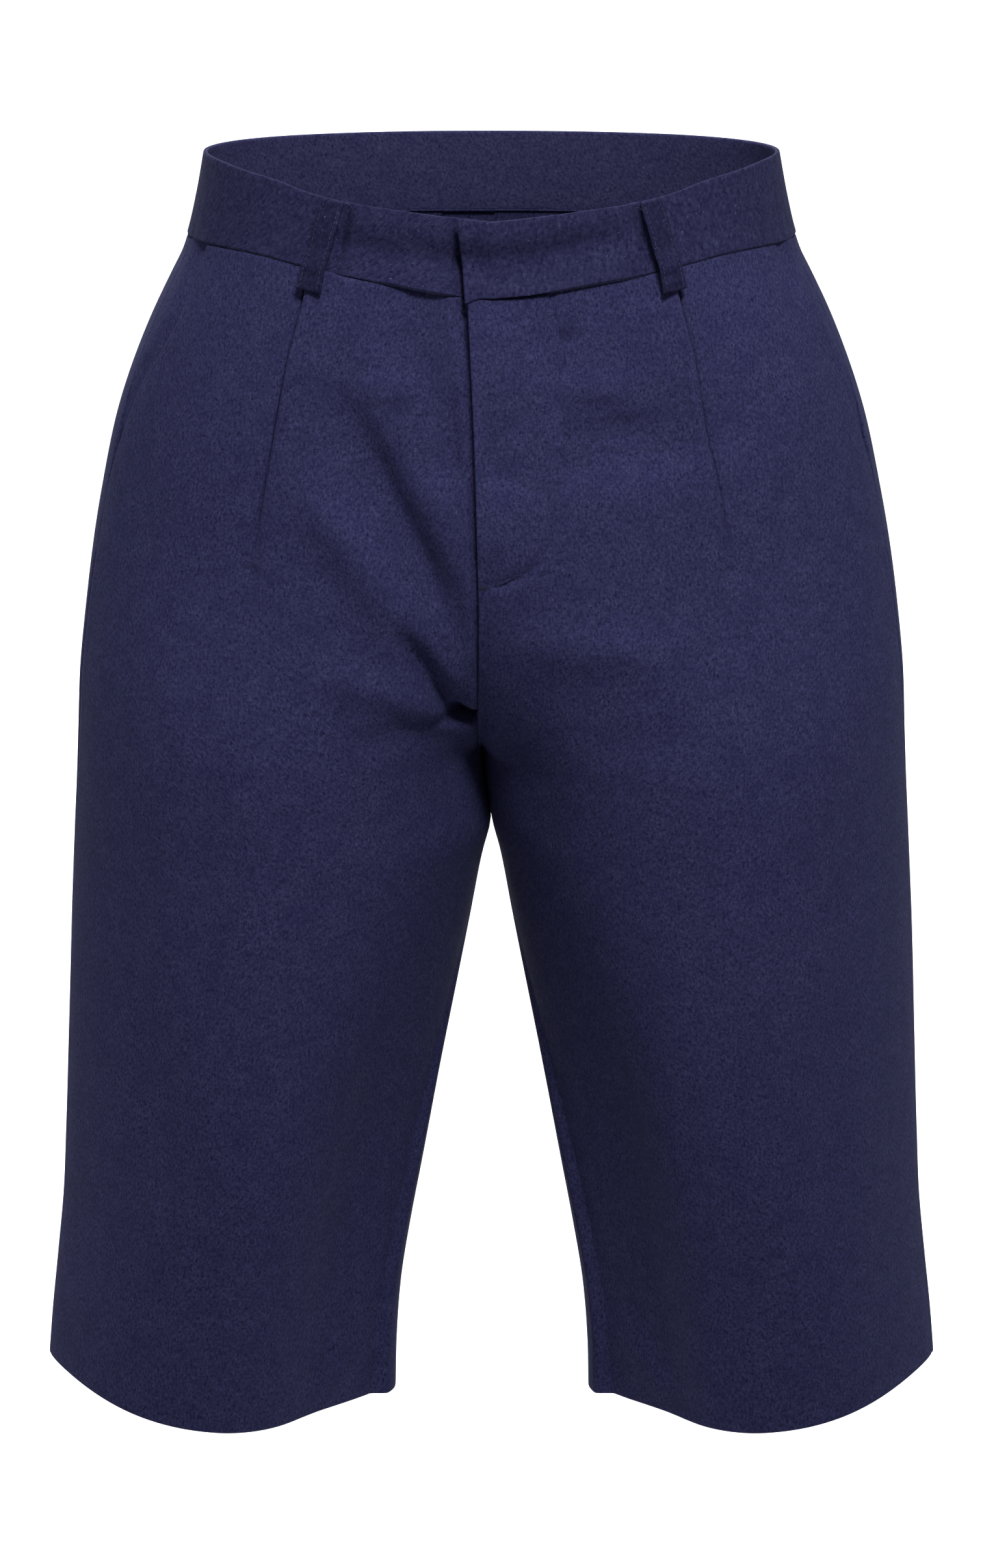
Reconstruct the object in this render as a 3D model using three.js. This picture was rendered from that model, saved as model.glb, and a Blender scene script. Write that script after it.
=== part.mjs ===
// Tailored bermuda shorts in brushed navy twill, filled out as when worn, with nobody inside.
// Millimetres, +Z up. The front faces -Y and the wearer's left side is +X.
// The origin is the middle of the waist opening, level with the waistband's top edge at the sides.
import * as THREE from 'three';

// Heights along the side of the garment, and the sizes of the cut pieces.
const waistSeamZ = -36;
const pocketEndZ = -168;
const forkStartZ = -150;
const crotchZ = -262;
const forkSoftness = 62;
const thighFullness = 0.62;
const seatFullness = 0.55;
const hemZ = -547;
const hemSlope = 0.108;
const hemTurn = 20;
const clothWall = 1.2;
const hemWall = 2.4;
const bandWall = 2;
const pocketBackWall = 1.2;
const flyWall = 1;
const halfSeam = 0.15;
const layerGap = 0.3;
const loopWidth = 10;
const loopWall = 1.4;
const loopBelowSeam = 9;
const flyEndZ = -172;
const flapRaise = 1.7;
const flapUnderlap = 4;
const bandEndRaise = 2.5;
const bandOverEnd = 100;
const underEndX = 26;
const pleatRaise = 2.6;
const pleatWidth = 24;

// Half the garment, section by section down the side seam:
// outer is the half width, gap the distance of the inner thigh from the middle,
// then the depths of the body ring and of the leg ring, to the front and to the back,
// how far each half of the leg ring is flattened towards its seam,
// and the angles at which the side seam and the inseam lie, in degrees from the widest point.
const sectionColumns = [
  'z', 'outer', 'gap', 'bodyFront', 'bodyBack', 'legFront', 'legBack', 'flatOut', 'flatIn', 'side', 'inseam',
];
const sectionRows = [
  [0, 124.6, 0.15, 95, 80, 108, 114, 0.05, 0, 11, 184],
  [-18, 128, 0.15, 97, 83, 108, 114, 0.05, 0, 11, 184],
  [-36, 132.4, 0.15, 99.5, 87, 108, 114, 0.05, 0, 11, 184],
  [-43, 134.8, 0.15, 100.5, 89, 108, 114, 0.05, 0, 11, 184],
  [-52, 139.3, 0.15, 101.5, 92, 108, 114, 0.05, 0, 11, 184],
  [-69, 147.5, 0.15, 103, 98, 108, 114, 0.05, 0, 11, 184],
  [-84, 153.8, 0.15, 104.3, 103, 108, 114, 0.05, 0, 11, 184],
  [-110, 162.9, 0.15, 106.3, 111, 108, 114, 0.06, 0, 11, 184],
  [-149, 171.6, 0.15, 108.5, 121, 108, 114, 0.08, 0, 11, 184],
  [-201, 179.7, 0.15, 109, 126, 108, 114, 0.12, 0, 10.5, 184],
  [-228, 182.6, 0.15, 109, 124, 108, 113.5, 0.15, 0, 10.5, 184],
  [-254, 183.7, 0.15, 109, 121, 107.5, 112.5, 0.18, 0.02, 10, 184],
  [-281, 184.7, 0.15, 109, 118, 106.5, 111, 0.22, 0.1, 9, 182],
  [-295, 185.4, 1.6, 109, 117, 106, 110, 0.25, 0.14, 8.5, 181],
  [-308, 186, 4, 109, 116, 105.5, 109, 0.28, 0.18, 8, 180],
  [-335, 187.3, 9.1, 109, 112, 104, 106.5, 0.33, 0.25, 6.5, 178],
  [-389, 189.6, 20.2, 109, 108, 102.3, 102.5, 0.41, 0.37, 3.5, 173],
  [-444, 192, 31.1, 109, 105, 98.7, 98.5, 0.48, 0.46, 2, 169],
  [-471, 193.4, 36.5, 109, 105, 96.8, 97, 0.5, 0.49, 1.5, 167.5],
  [-499, 196.3, 41.3, 109, 105, 94.8, 95.5, 0.52, 0.51, 1, 166],
  [-527, 199.4, 43.5, 109, 105, 93, 94.2, 0.53, 0.53, 1, 165],
  [-547, 201.2, 43.9, 109, 105, 91.8, 93.5, 0.53, 0.53, 1, 165],
];

// How far the waist's top edge and its seam dip at the front, by the share of the half width.
const dipColumns = ['across', 'topEdge', 'seam'];
const dipRows = [
  [0, 20.6, 16.6],
  [0.13, 19, 15],
  [0.32, 16.1, 10.9],
  [0.49, 13.5, 7.6],
  [0.64, 9.5, 3.7],
  [0.72, 6.3, 1.6],
  [0.85, 3, 0],
  [0.95, 0.6, 0],
  [1, 0, 0],
];

// Lines on the front, as distance from the middle at a height.
const frontEdge = curve([[0, -12], [-53, -9.3], [-173, -5.7], [-262, -4.4], [-295, 0]]);
const pocketEdge = curve([[-36, 122], [-63, 132], [-102, 153.5], [-131, 164], [-154, 170], [-168, 173.5]]);
const pleatEdge = curve([[-36, 77], [-59, 84.5], [-83, 88], [-126, 93.5], [-160, 98]]);
const pleatHeights = curve([[-36, 0.7], [-60, 1], [-120, 0.55], [-170, 0]]);
const pocketBackEdge = curve([[-36, 106], [-150, 104], [-190, 112], [-212, 135]]);
const pocketBackEndZ = -212;
const pleatEndZ = -170;
const facingCurve = curve([[-36, 28], [-140, 28], [-152, 26], [-162, 19], [-169, 9], [-172, 2]]);
const zipEdge = curve([[-36, 18], [-150, 18], [-164, 12]]);
const zipEndZ = -164;
const shieldEdge = curve([[-36, 33], [-160, 33], [-172, 26], [-177, 14]]);
const shieldEndZ = -177;

// The large soft folds: a line of [across, height] points, the fold's rise and its half width.
// A trough has a negative rise. Across is positive on the wearer's left.
const frontFolds = [
  { rise: -2.4, width: 9, line: [[-58, -103], [-42, -122], [-27, -151], [-18, -166]] },
  { rise: 1.8, width: 9, line: [[-37, -84], [-22, -120], [-16, -145]] },
  { rise: 2, width: 9, line: [[-43, -142], [-26, -181]] },
  { rise: -2.4, width: 8, line: [[-55, -174], [-32, -185], [-15, -197]] },
  { rise: 2.4, width: 9, line: [[-56, -213], [-39, -210], [-24, -211]] },
  { rise: -2.4, width: 8, line: [[-58, -232], [-41, -233], [-28, -232]] },
  { rise: 1.8, width: 10, line: [[10, -180], [38, -184], [67, -190]] },
  { rise: -1.8, width: 9, line: [[14, -200], [40, -203], [62, -206]] },
  { rise: 2.2, width: 9, line: [[24, -214], [42, -213], [60, -217]] },
  { rise: -2.2, width: 8, line: [[26, -233], [42, -234], [56, -232]] },
  { rise: -1.5, width: 14, line: [[-152, -369], [-148, -405], [-143, -445]] },
  { rise: -1.5, width: 14, line: [[152, -365], [147, -410], [142, -450]] },
];
const backFolds = [
  { rise: -2.2, width: 10, line: [[-70, -205], [-45, -222], [-25, -236]] },
  { rise: 2, width: 10, line: [[-78, -222], [-52, -240], [-34, -252]] },
  { rise: -2, width: 10, line: [[66, -208], [44, -224], [24, -240]] },
  { rise: 1.9, width: 11, line: [[80, -226], [54, -243], [36, -253]] },
  { rise: -1.6, width: 13, line: [[-120, -300], [-108, -345], [-104, -400]] },
  { rise: -1.5, width: 13, line: [[118, -310], [110, -350], [102, -395]] },
];

const navyTwill = { color: 0x292847, roughness: 0.92, metalness: 0 };
const navyTape = { color: 0x1c1c30, roughness: 0.6, metalness: 0 };

const radians = THREE.MathUtils.degToRad;
const clamp = THREE.MathUtils.clamp;

function ease(t) {
  const share = clamp(t, 0, 1);
  return share * share * (3 - 2 * share);
}

// A smooth curve through [key, value] points, level beyond its ends. The keys rise or fall.
function curve(points) {
  const keys = points.map((point) => point[0]);
  const values = points.map((point) => point[1]);
  const last = points.length - 1;
  const falling = keys[last] < keys[0] ? -1 : 1;
  const steps = keys.slice(1).map((key, i) => (values[i + 1] - values[i]) / (key - keys[i]));
  const slopes = keys.map((key, i) => {
    if (i === 0 || i === last) return steps[Math.min(i, last - 1)];
    const [before, after] = [key - keys[i - 1], keys[i + 1] - key];
    return (steps[i - 1] * after + steps[i] * before) / (before + after);
  });
  return (key) => {
    if ((key - keys[0]) * falling <= 0) return values[0];
    if ((key - keys[last]) * falling >= 0) return values[last];
    const i = keys.findIndex((next) => (key - next) * falling <= 0) - 1;
    const span = keys[i + 1] - keys[i];
    const t = (key - keys[i]) / span;
    const ends = values[i] * (1 + 2 * t) * (1 - t) ** 2 + values[i + 1] * t * t * (3 - 2 * t);
    return ends + span * (slopes[i] * t * (1 - t) ** 2 - slopes[i + 1] * t * t * (1 - t));
  };
}

// Each named column of a table, as a curve over the table's first column.
function columnCurves(names, rows) {
  return Object.fromEntries(names.map((name, i) => [name, curve(rows.map((row) => [row[0], row[i]]))]));
}

const section = columnCurves(sectionColumns, sectionRows);
const dips = columnCurves(dipColumns, dipRows);

function frontDip(across, z) {
  const down = clamp(z / waistSeamZ, 0, 1);
  const dip = dips.topEdge(across) * (1 - down) + dips.seam(across) * down;
  return dip * (1 - ease((waistSeamZ - z) / (waistSeamZ - forkStartZ)));
}

// The ring round the body at a height: 0 degrees is the wearer's left side, 90 the middle front.
function bodyRing(degrees, z) {
  const [c, s] = [Math.cos(radians(degrees)), Math.sin(radians(degrees))];
  const x = section.outer(z) * c;
  const depth = s > 0 ? section.bodyFront(z) : section.bodyBack(z);
  const y = -depth * s * (1 + 0.12 * c * c);
  const dip = s > 0 ? frontDip(Math.abs(c), z) : 0;
  return new THREE.Vector3(x, y, z - dip);
}

function degreesAt(x, z) {
  return THREE.MathUtils.radToDeg(Math.acos(clamp(x / section.outer(z), -1, 1)));
}

// The ring of one leg, drawn for the +X side. Above the crotch its inner part stays at the crotch.
function legRing(share, face, middle, z) {
  const inner = section.gap(z) + middle;
  const outer = section.outer(z);
  const halfWidth = (outer - inner) / 2;
  const start = radians(section.inseam(z) - (face === 'front' ? 0 : 360));
  const angle = start + (radians(section.side(z)) - start) * share;
  const [c, s] = [Math.cos(angle), Math.sin(angle)];
  const flat = c > 0 ? section.flatOut(z) * c ** 3 : section.flatIn(z) * c * c;
  const depth = s > 0 ? section.legFront(z) : section.legBack(z);
  const x = inner + halfWidth + halfWidth * c;
  const y = -depth * s * (1 - flat);
  const tilt = hemSlope * clamp((crotchZ - z) / (crotchZ - hemZ), 0, 1);
  const held = z > crotchZ ? (crotchZ - z) * Math.max(1 - share, 0) ** 2.5 : 0;
  return new THREE.Vector3(x, y, z - tilt * (outer - x) + held);
}

// A point of a panel: share 0 is the centre seam and the inseam, share 1 the side seam.
function panelSkin(side, face, share, z) {
  const middle = frontEdge(z) * side;
  const turn = face === 'front' ? 1 : -1;
  const start = degreesAt(middle, z) * turn;
  const body = bodyRing(start + (section.side(z) - start) * share, z);
  const outwards = ease(share / 0.5);
  const fork = clamp((forkStartZ - z) / (forkStartZ - crotchZ + forkSoftness * outwards), 0, 1);
  const curved = fork ** (face === 'front' ? 2.2 : 2.2 + 0.6 * (1 - share));
  const soft = 1 - (1 - fork * fork) ** 1.6;
  const blend = curved * (1 - outwards) + soft * outwards;
  const point = blend > 0 ? body.lerp(legRing(share, face, middle, z), blend) : body;
  const fullness = Math.sin(Math.PI * clamp(share, 0, 1)) ** 0.7;
  point.y *= 1 + (face === 'front' ? thighFullness : seatFullness) * blend * (1 - blend) ** 1.5 * fullness;
  point.x *= side;
  return point;
}

// Moves a point of a skin out along the skin's normal. The skin is a function of a place across and z.
const shareStep = 0.002;
const degreeStep = 0.1;
const heightStep = 0.4;

function lifted(skin, across, step, z, outwards) {
  const point = skin(across, z);
  const sideways = skin(across + step, z).sub(skin(across - step, z));
  const upwards = skin(across, z + heightStep).sub(skin(across, z - heightStep));
  const normal = sideways.cross(upwards).normalize();
  const away = new THREE.Vector3(point.x - insideX(point.x, z), point.y, 0);
  if (normal.dot(away) < 0) normal.negate();
  return point.addScaledVector(normal, outwards);
}

// A place inside the cloth at a height, from which the skin faces away: the body's or a leg's middle.
function insideX(x, z) {
  if (z > forkStartZ) return 0;
  const legMiddle = z < crotchZ ? (section.outer(z) + section.gap(z)) / 2 : 60;
  return Math.sign(x + 1e-9) * legMiddle;
}

function foldRise(folds, x, z) {
  let rise = 0;
  for (const fold of folds) {
    let nearest = Infinity;
    for (let i = 1; i < fold.line.length; i += 1) {
      const [x0, z0] = fold.line[i - 1];
      const [x1, z1] = fold.line[i];
      const [dx, dz] = [x1 - x0, z1 - z0];
      const t = clamp(((x - x0) * dx + (z - z0) * dz) / (dx * dx + dz * dz), 0, 1);
      nearest = Math.min(nearest, Math.hypot(x - x0 - t * dx, z - z0 - t * dz));
    }
    rise += fold.rise * Math.exp(-((nearest / fold.width) ** 2));
  }
  return rise;
}

// The pleat is a fold of cloth whose edge faces the side seam.
function pleatRise(x, z) {
  const inwards = pleatEdge(z) - Math.abs(x);
  if (inwards < 0) return 0;
  return pleatRaise * pleatHeights(z) * ease(1 - inwards / pleatWidth);
}

// The wearer's left front laps over the right one as far down as the fly reaches.
function flapRise(x, z) {
  const fromEdge = x - frontEdge(z) - flapUnderlap;
  const downwards = ease((z - flyEndZ - 4) / 16);
  return flapRaise * downwards * (1 - ease(fromEdge / 26));
}

function frontRise(side, x, z) {
  const flap = side > 0 ? flapRise(x, z) : 0;
  return flap + pleatRise(x, z) + foldRise(frontFolds, x, z);
}

// Closes a grid of outer points and a grid of inner points into one wall of cloth.
function clothMesh(name, outer, inner, look) {
  const rows = outer.length;
  const columns = outer[0].length;
  const positions = [...outer.flat(), ...inner.flat()].flatMap((point) => point.toArray());
  const outerAt = (row, column) => row * columns + column;
  const innerAt = (row, column) => rows * columns + row * columns + column;
  const triangles = [];
  const quad = (a, b, c, d) => triangles.push([a, b, c], [a, c, d]);
  for (let row = 0; row < rows - 1; row += 1) {
    for (let column = 0; column < columns - 1; column += 1) {
      const corners = [[row, column], [row + 1, column], [row + 1, column + 1], [row, column + 1]];
      quad(...corners.map((corner) => outerAt(...corner)));
      quad(...corners.map((corner) => innerAt(...corner)).reverse());
    }
    quad(innerAt(row, 0), innerAt(row + 1, 0), outerAt(row + 1, 0), outerAt(row, 0));
    const last = columns - 1;
    quad(outerAt(row, last), outerAt(row + 1, last), innerAt(row + 1, last), innerAt(row, last));
  }
  for (let column = 0; column < columns - 1; column += 1) {
    const last = rows - 1;
    quad(outerAt(0, column), outerAt(0, column + 1), innerAt(0, column + 1), innerAt(0, column));
    quad(innerAt(last, column), innerAt(last, column + 1), outerAt(last, column + 1), outerAt(last, column));
  }
  const corner = (index) => new THREE.Vector3().fromArray(positions, index * 3);
  const volume = triangles.reduce((sum, [a, b, c]) => sum + corner(a).dot(corner(b).cross(corner(c))), 0);
  const facing = volume > 0 ? triangles : triangles.map(([a, b, c]) => [a, c, b]);
  const geometry = new THREE.BufferGeometry();
  geometry.setAttribute('position', new THREE.Float32BufferAttribute(positions, 3));
  geometry.setIndex(facing.flat());
  geometry.computeVertexNormals();
  const mesh = new THREE.Mesh(geometry, new THREE.MeshStandardMaterial(look));
  mesh.name = name;
  return mesh;
}

function evenly(from, to, steps) {
  return Array.from({ length: steps + 1 }, (_, i) => from + ((to - from) * i) / steps);
}

function panelWidth(side, face, z) {
  const points = evenly(0, 1, 24).map((share) => panelSkin(side, face, share, z));
  return points.slice(1).reduce((sum, point, i) => sum + point.distanceTo(points[i]), 0);
}

// The share of a front's width at which it is a given distance from the middle, towards its side.
function shareAt(side, across, z) {
  let [low, high] = [-0.1, 1];
  for (let i = 0; i < 24; i += 1) {
    const half = (low + high) / 2;
    if (panelSkin(side, 'front', half, z).x * side < across) low = half;
    else high = half;
  }
  return (low + high) / 2;
}

// Every piece has its rows of points at the same heights, so that the layers stay apart.
const turnTop = hemZ + hemTurn;
const heights = [
  ...evenly(waistSeamZ - halfSeam, forkStartZ, 9),
  ...evenly(forkStartZ, crotchZ, 9).slice(1),
  ...evenly(crotchZ, turnTop + 1, 16).slice(1),
  turnTop - 1,
  hemZ + hemTurn / 2,
  hemZ,
];

function heightsDownTo(endZ) {
  return [...heights.filter((z) => z > endZ + 2), endZ];
}

// A panel from the waist seam to the hem. The turned-up hem is the thicker wall at its foot.
function panel(name, side, face, sharesAt, riseAt) {
  const skin = (share, z) => panelSkin(side, face, share, z);
  const outer = [];
  const inner = [];
  for (const z of heights) {
    const thickness = z < hemZ + hemTurn ? hemWall : clothWall;
    const points = sharesAt(z).map((share) => {
      const rise = riseAt(skin(share, z).x, z);
      return [0, -thickness].map((depth) => lifted(skin, share, shareStep, z, rise + depth));
    });
    outer.push(points.map((pair) => pair[0]));
    inner.push(points.map((pair) => pair[1]));
  }
  return clothMesh(name, outer, inner, navyTwill);
}

// A front is cut away along the slant pocket, and the right one reaches under the left one's edge.
function frontShares(side, z) {
  const width = panelWidth(side, 'front', z);
  const underlap = side < 0 ? flapUnderlap * ease((z - flyEndZ - 22) / 10) : 0;
  const first = (halfSeam - underlap) / width;
  const pocket = z > pocketEndZ ? shareAt(side, pocketEdge(z), z) : 1;
  const last = Math.min(pocket, 1 - halfSeam / width);
  const pleatZ = Math.max(z, pleatEndZ);
  const pleat = shareAt(side, pleatEdge(pleatZ), pleatZ);
  return [...evenly(first, pleat - 0.5 / width, 10), ...evenly(pleat + 0.5 / width, last, 8)];
}

function backShares(side, z) {
  const width = panelWidth(side, 'back', z);
  return evenly(halfSeam / width, 1 - halfSeam / width, 14);
}

// A flat strip of cloth inside the front, between two lines given by their distance from the middle.
function frontPatch(name, firstX, lastX, endZ, depth, steps, look) {
  const skin = (share, z) => panelSkin(1, 'front', share, z);
  const layers = [depth, depth + flyWall].map((into) => heightsDownTo(endZ).map((z) => {
    return evenly(shareAt(1, firstX(z), z), shareAt(1, lastX(z), z), steps).map((share) => {
      return lifted(skin, share, shareStep, z, -into);
    });
  }));
  return clothMesh(name, layers[0], layers[1], look);
}

const facingDepth = clothWall + layerGap;
const zipDepth = facingDepth + flyWall + layerGap;
const shieldDepth = zipDepth + flyWall + layerGap;
const pocketDepth = clothWall + layerGap + 0.25;

// The piece behind the slant opening: it shows beyond the front's edge and runs on behind the front.
function pocketBack(name, side) {
  const skin = (share, z) => panelSkin(side, 'front', share, z);
  const layers = [0, 1].map((layer) => heightsDownTo(pocketBackEndZ).map((z) => {
    const width = panelWidth(side, 'front', z);
    const edge = z > pocketEndZ ? shareAt(side, pocketEdge(z), z) : 1;
    const first = shareAt(side, pocketBackEdge(z), z);
    const last = z > pocketEndZ ? 1 - halfSeam / width : 1 - 3 / width;
    return evenly(first, last, 10).map((share) => {
      const shown = (share - edge) * width;
      const depth = pocketDepth * (1 - ease(shown / 18));
      return lifted(skin, share, shareStep, z, -depth - layer * pocketBackWall);
    });
  }));
  return clothMesh(name, layers[0], layers[1], navyTwill);
}

// The band is one strip all round. Its outer end rises over its inner end at the front.
function bandRise(degrees) {
  return degrees > bandOverEnd ? 0 : bandEndRaise * ease((degrees - 48) / 28);
}

function waistband() {
  const overEnd = curve([[0, -14.6], [waistSeamZ, -11]]);
  const rows = evenly(0, waistSeamZ + halfSeam, 4);
  const layers = [0, bandWall].map((into) => rows.map((z) => {
    const start = degreesAt(overEnd(z), z);
    const end = degreesAt(underEndX, z) - 360;
    return evenly(start, end, 92).map((degrees) => {
      return lifted(bodyRing, degrees, degreeStep, z, bandRise(degrees) - into);
    });
  }));
  return clothMesh('waistband', layers[0], layers[1], navyTwill);
}

// A belt loop lies on the band from its top edge to below its seam, and stands off in between.
function beltLoop(name, topX, bottomX, isFront) {
  const endZ = waistSeamZ - loopBelowSeam;
  const rows = evenly(-0.5, endZ, 10);
  const turn = isFront ? 1 : -1;
  const layers = [loopWall, 0].map((thickness) => rows.map((z) => {
    const down = (z - rows[0]) / (endZ - rows[0]);
    const middle = topX + (bottomX - topX) * down;
    const standOff = layerGap + 0.1 + 1.3 * Math.sin(Math.PI * down) ** 0.6;
    const pleat = isFront ? pleatRaise * pleatHeights(z) * ease((waistSeamZ + 12 - z) / 12) : 0;
    return evenly(middle - loopWidth / 2, middle + loopWidth / 2, 3).map((x) => {
      const degrees = degreesAt(x, z) * turn;
      return lifted(bodyRing, degrees, degreeStep, z, bandRise(degrees) + pleat + standOff + thickness);
    });
  }));
  return clothMesh(name, layers[0], layers[1], navyTwill);
}

const shorts = new THREE.Group();
for (const [wearer, side] of [['left', 1], ['right', -1]]) {
  shorts.add(panel(`front_${wearer}`, side, 'front', (z) => frontShares(side, z),
    (x, z) => frontRise(side, x, z)));
  shorts.add(panel(`back_${wearer}`, side, 'back', (z) => backShares(side, z),
    (x, z) => foldRise(backFolds, x, z)));
  shorts.add(pocketBack(`pocket_back_${wearer}`, side));
  shorts.add(beltLoop(`belt_loop_front_${wearer}`, 66 * side, 75 * side, true));
  shorts.add(beltLoop(`belt_loop_back_${wearer}`, 72 * side, 75 * side, false));
}
shorts.add(beltLoop('belt_loop_middle_back', 0, 0, false));
shorts.add(waistband());

const insideEdge = (z) => frontEdge(z) + flapUnderlap + 0.8;
const shieldStart = (z) => frontEdge(z) + 1;
shorts.add(frontPatch('fly_facing', insideEdge, facingCurve, flyEndZ, facingDepth, 4, navyTwill));
shorts.add(frontPatch('fly_zip', insideEdge, zipEdge, zipEndZ, zipDepth, 3, navyTape));
shorts.add(frontPatch('fly_shield', shieldStart, shieldEdge, shieldEndZ, shieldDepth, 5, navyTwill));

export default shorts;
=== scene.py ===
# Tailored bermuda shorts in brushed navy twill, filled out as when worn, with nobody inside.
# Shapes are worked out in millimetres and made in metres.
# The front faces -Y, the wearer's left is +X, and z = 0 is the waist's top edge at the sides.
import math

import bpy
import numpy as np
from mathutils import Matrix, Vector


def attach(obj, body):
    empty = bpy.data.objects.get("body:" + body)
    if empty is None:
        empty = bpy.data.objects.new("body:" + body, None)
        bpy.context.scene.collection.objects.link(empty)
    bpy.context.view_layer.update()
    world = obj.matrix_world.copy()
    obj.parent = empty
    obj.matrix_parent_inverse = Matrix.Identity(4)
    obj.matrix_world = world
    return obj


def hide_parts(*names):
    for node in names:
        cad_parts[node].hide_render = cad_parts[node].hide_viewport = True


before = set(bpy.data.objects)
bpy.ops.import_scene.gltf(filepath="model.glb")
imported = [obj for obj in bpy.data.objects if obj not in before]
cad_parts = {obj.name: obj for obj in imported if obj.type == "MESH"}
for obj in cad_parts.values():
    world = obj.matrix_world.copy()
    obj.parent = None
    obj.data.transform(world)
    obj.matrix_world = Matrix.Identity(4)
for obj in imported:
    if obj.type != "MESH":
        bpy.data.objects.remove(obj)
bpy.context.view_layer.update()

mm = 0.001

# The cut of the garment, with the same sizes as the solids

cut = {
    "waistSeamZ": -36.0,
    "pocketEndZ": -168.0,
    "pocketBackEndZ": -212.0,
    "forkStartZ": -150.0,
    "crotchZ": -262.0,
    "forkSoftness": 62.0,
    "forkCurve": 2.2,
    "thighFullness": 0.62,
    "seatFullness": 0.55,
    "seatCurve": 0.6,
    "sideFullness": 0.12,
    "hemZ": -547.0,
    "hemSlope": 0.108,
    "hemTurn": 20.0,
    "halfSeam": -0.02,  # sewn edges press on each other
}

# Half the garment, section by section down the side seam: half width, gap between the legs,
# depths of the body ring and the leg ring, flatness of the leg, and the angles of its two seams
sectionColumns = ("z", "outer", "gap", "bodyFront", "bodyBack", "legFront", "legBack",
                  "flatOut", "flatIn", "side", "inseam")
sectionRows = (
    (0, 124.6, 0, 95, 80, 108, 114, 0.05, 0, 11, 184),
    (-18, 128, 0, 97, 83, 108, 114, 0.05, 0, 11, 184),
    (-36, 132.4, 0, 99.5, 87, 108, 114, 0.05, 0, 11, 184),
    (-43, 134.8, 0, 100.5, 89, 108, 114, 0.05, 0, 11, 184),
    (-52, 139.3, 0, 101.5, 92, 108, 114, 0.05, 0, 11, 184),
    (-69, 147.5, 0, 103, 98, 108, 114, 0.05, 0, 11, 184),
    (-84, 153.8, 0, 104.3, 103, 108, 114, 0.05, 0, 11, 184),
    (-110, 162.9, 0, 106.3, 111, 108, 114, 0.06, 0, 11, 184),
    (-149, 171.6, 0, 108.5, 121, 108, 114, 0.08, 0, 11, 184),
    (-201, 179.7, 0, 109, 126, 108, 114, 0.12, 0, 10.5, 184),
    (-228, 182.6, 0, 109, 124, 108, 113.5, 0.15, 0, 10.5, 184),
    (-254, 183.7, 0, 109, 121, 107.5, 112.5, 0.18, 0.02, 10, 184),
    (-281, 184.7, 0.0, 109, 118, 106.5, 111, 0.22, 0.1, 9, 182),
    (-295, 185.4, 0.2, 109, 117, 106, 110, 0.25, 0.14, 8.5, 181),
    (-308, 186, 3.6, 109, 116, 105.5, 109, 0.28, 0.18, 8, 180),
    (-335, 187.3, 9.1, 109, 112, 104, 106.5, 0.33, 0.25, 6.5, 178),
    (-389, 189.6, 20.2, 109, 108, 102.3, 102.5, 0.41, 0.37, 3.5, 173),
    (-444, 192, 31.1, 109, 105, 98.7, 98.5, 0.48, 0.46, 2, 169),
    (-471, 193.4, 36.5, 109, 105, 96.8, 97, 0.5, 0.49, 1.5, 167.5),
    (-499, 196.3, 41.3, 109, 105, 94.8, 95.5, 0.52, 0.51, 1, 166),
    (-527, 199.4, 43.5, 109, 105, 93, 94.2, 0.53, 0.53, 1, 165),
    (-547, 201.2, 43.9, 109, 105, 91.8, 93.5, 0.53, 0.53, 1, 165),
)

# How far the waist's top edge and its seam dip at the front, by the share of the half width
dipColumns = ("across", "topEdge", "seam")
dipRows = (
    (0, 20.6, 16.6), (0.13, 19, 15), (0.32, 16.1, 10.9), (0.49, 13.5, 7.6), (0.64, 9.5, 3.7),
    (0.72, 6.3, 1.6), (0.85, 3, 0), (0.95, 0.6, 0), (1, 0, 0),
)


def ease(t):
    t = np.clip(t, 0, 1)
    return t * t * (3 - 2 * t)


def smoothCurve(points):  # level beyond its ends
    keys, values = np.array(sorted(points), dtype=float).T
    gaps = np.diff(keys)
    steps = np.diff(values) / gaps
    between = (steps[:-1] * gaps[1:] + steps[1:] * gaps[:-1]) / (gaps[:-1] + gaps[1:])
    slopes = np.concatenate(([steps[0]], between, [steps[-1]]))

    def at(key):
        key = np.clip(key, keys[0], keys[-1])
        i = np.clip(np.searchsorted(keys, key, side="right") - 1, 0, len(gaps) - 1)
        t = (key - keys[i]) / gaps[i]
        ends = values[i] * (1 + 2 * t) * (1 - t) ** 2 + values[i + 1] * t * t * (3 - 2 * t)
        return ends + gaps[i] * (slopes[i] * t * (1 - t) ** 2 - slopes[i + 1] * t * t * (1 - t))

    return at


def columnCurves(names, rows):
    return {name: smoothCurve([(row[0], row[i]) for row in rows])
            for i, name in enumerate(names) if i}


section = columnCurves(sectionColumns, sectionRows)
dips = columnCurves(dipColumns, dipRows)

# Lines on the front, as distance from the middle at a height
frontEdge = smoothCurve([(0, -12), (-53, -9.3), (-173, -5.7), (-262, -4.4), (-295, 0)])
pocketEdge = smoothCurve([(-36, 122), (-63, 132), (-102, 153.5), (-131, 164), (-154, 170),
                          (-168, 173.5)])
pleatEdge = smoothCurve([(-36, 75.6), (-53.5, 79.4), (-74, 84.4), (-93, 88), (-113, 91.4), (-128, 94),
                         (-164, 99.6), (-182, 102.2)])


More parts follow.
